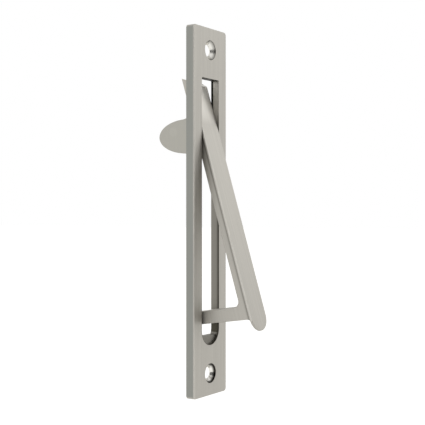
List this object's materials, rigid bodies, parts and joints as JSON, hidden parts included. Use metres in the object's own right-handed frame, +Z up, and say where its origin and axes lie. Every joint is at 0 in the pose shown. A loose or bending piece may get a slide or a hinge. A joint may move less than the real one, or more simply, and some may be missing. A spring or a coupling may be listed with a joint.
{
  "type": "pocket door edge pull",
  "caption": "Slotted face plate for a sliding door's edge, with a pivoting pull lever that swings out of the slot to be gripped and drops back level with the plate.",
  "frame": {"origin": "centre of the face plate's back, midway between the screw holes", "axes": "+X to the right seen from in front of the door's edge, +Y into the door, +Z up along the plate"},
  "size_m": [0.0254, 0.0462, 0.1588],
  "materials": {
    "plate_metal": "satin nickel plate, brushed along its length",
    "lever_metal": "satin nickel plate, brushed along its length",
    "pin_metal": "satin nickel plate"
  },
  "bodies": {
    "plate": {"face_plate": "plate_metal", "pivot_pin": "pin_metal"},
    "lever": {"pull_lever": "lever_metal"}
  },
  "joints": [
    {"name": "lever_swing", "type": "hinge", "parent": "plate", "child": "lever", "pos_m": [0, 0.009, 0.0343], "axis": [-1, 0, 0], "range_deg": [-16.8, 0]}
  ]
}
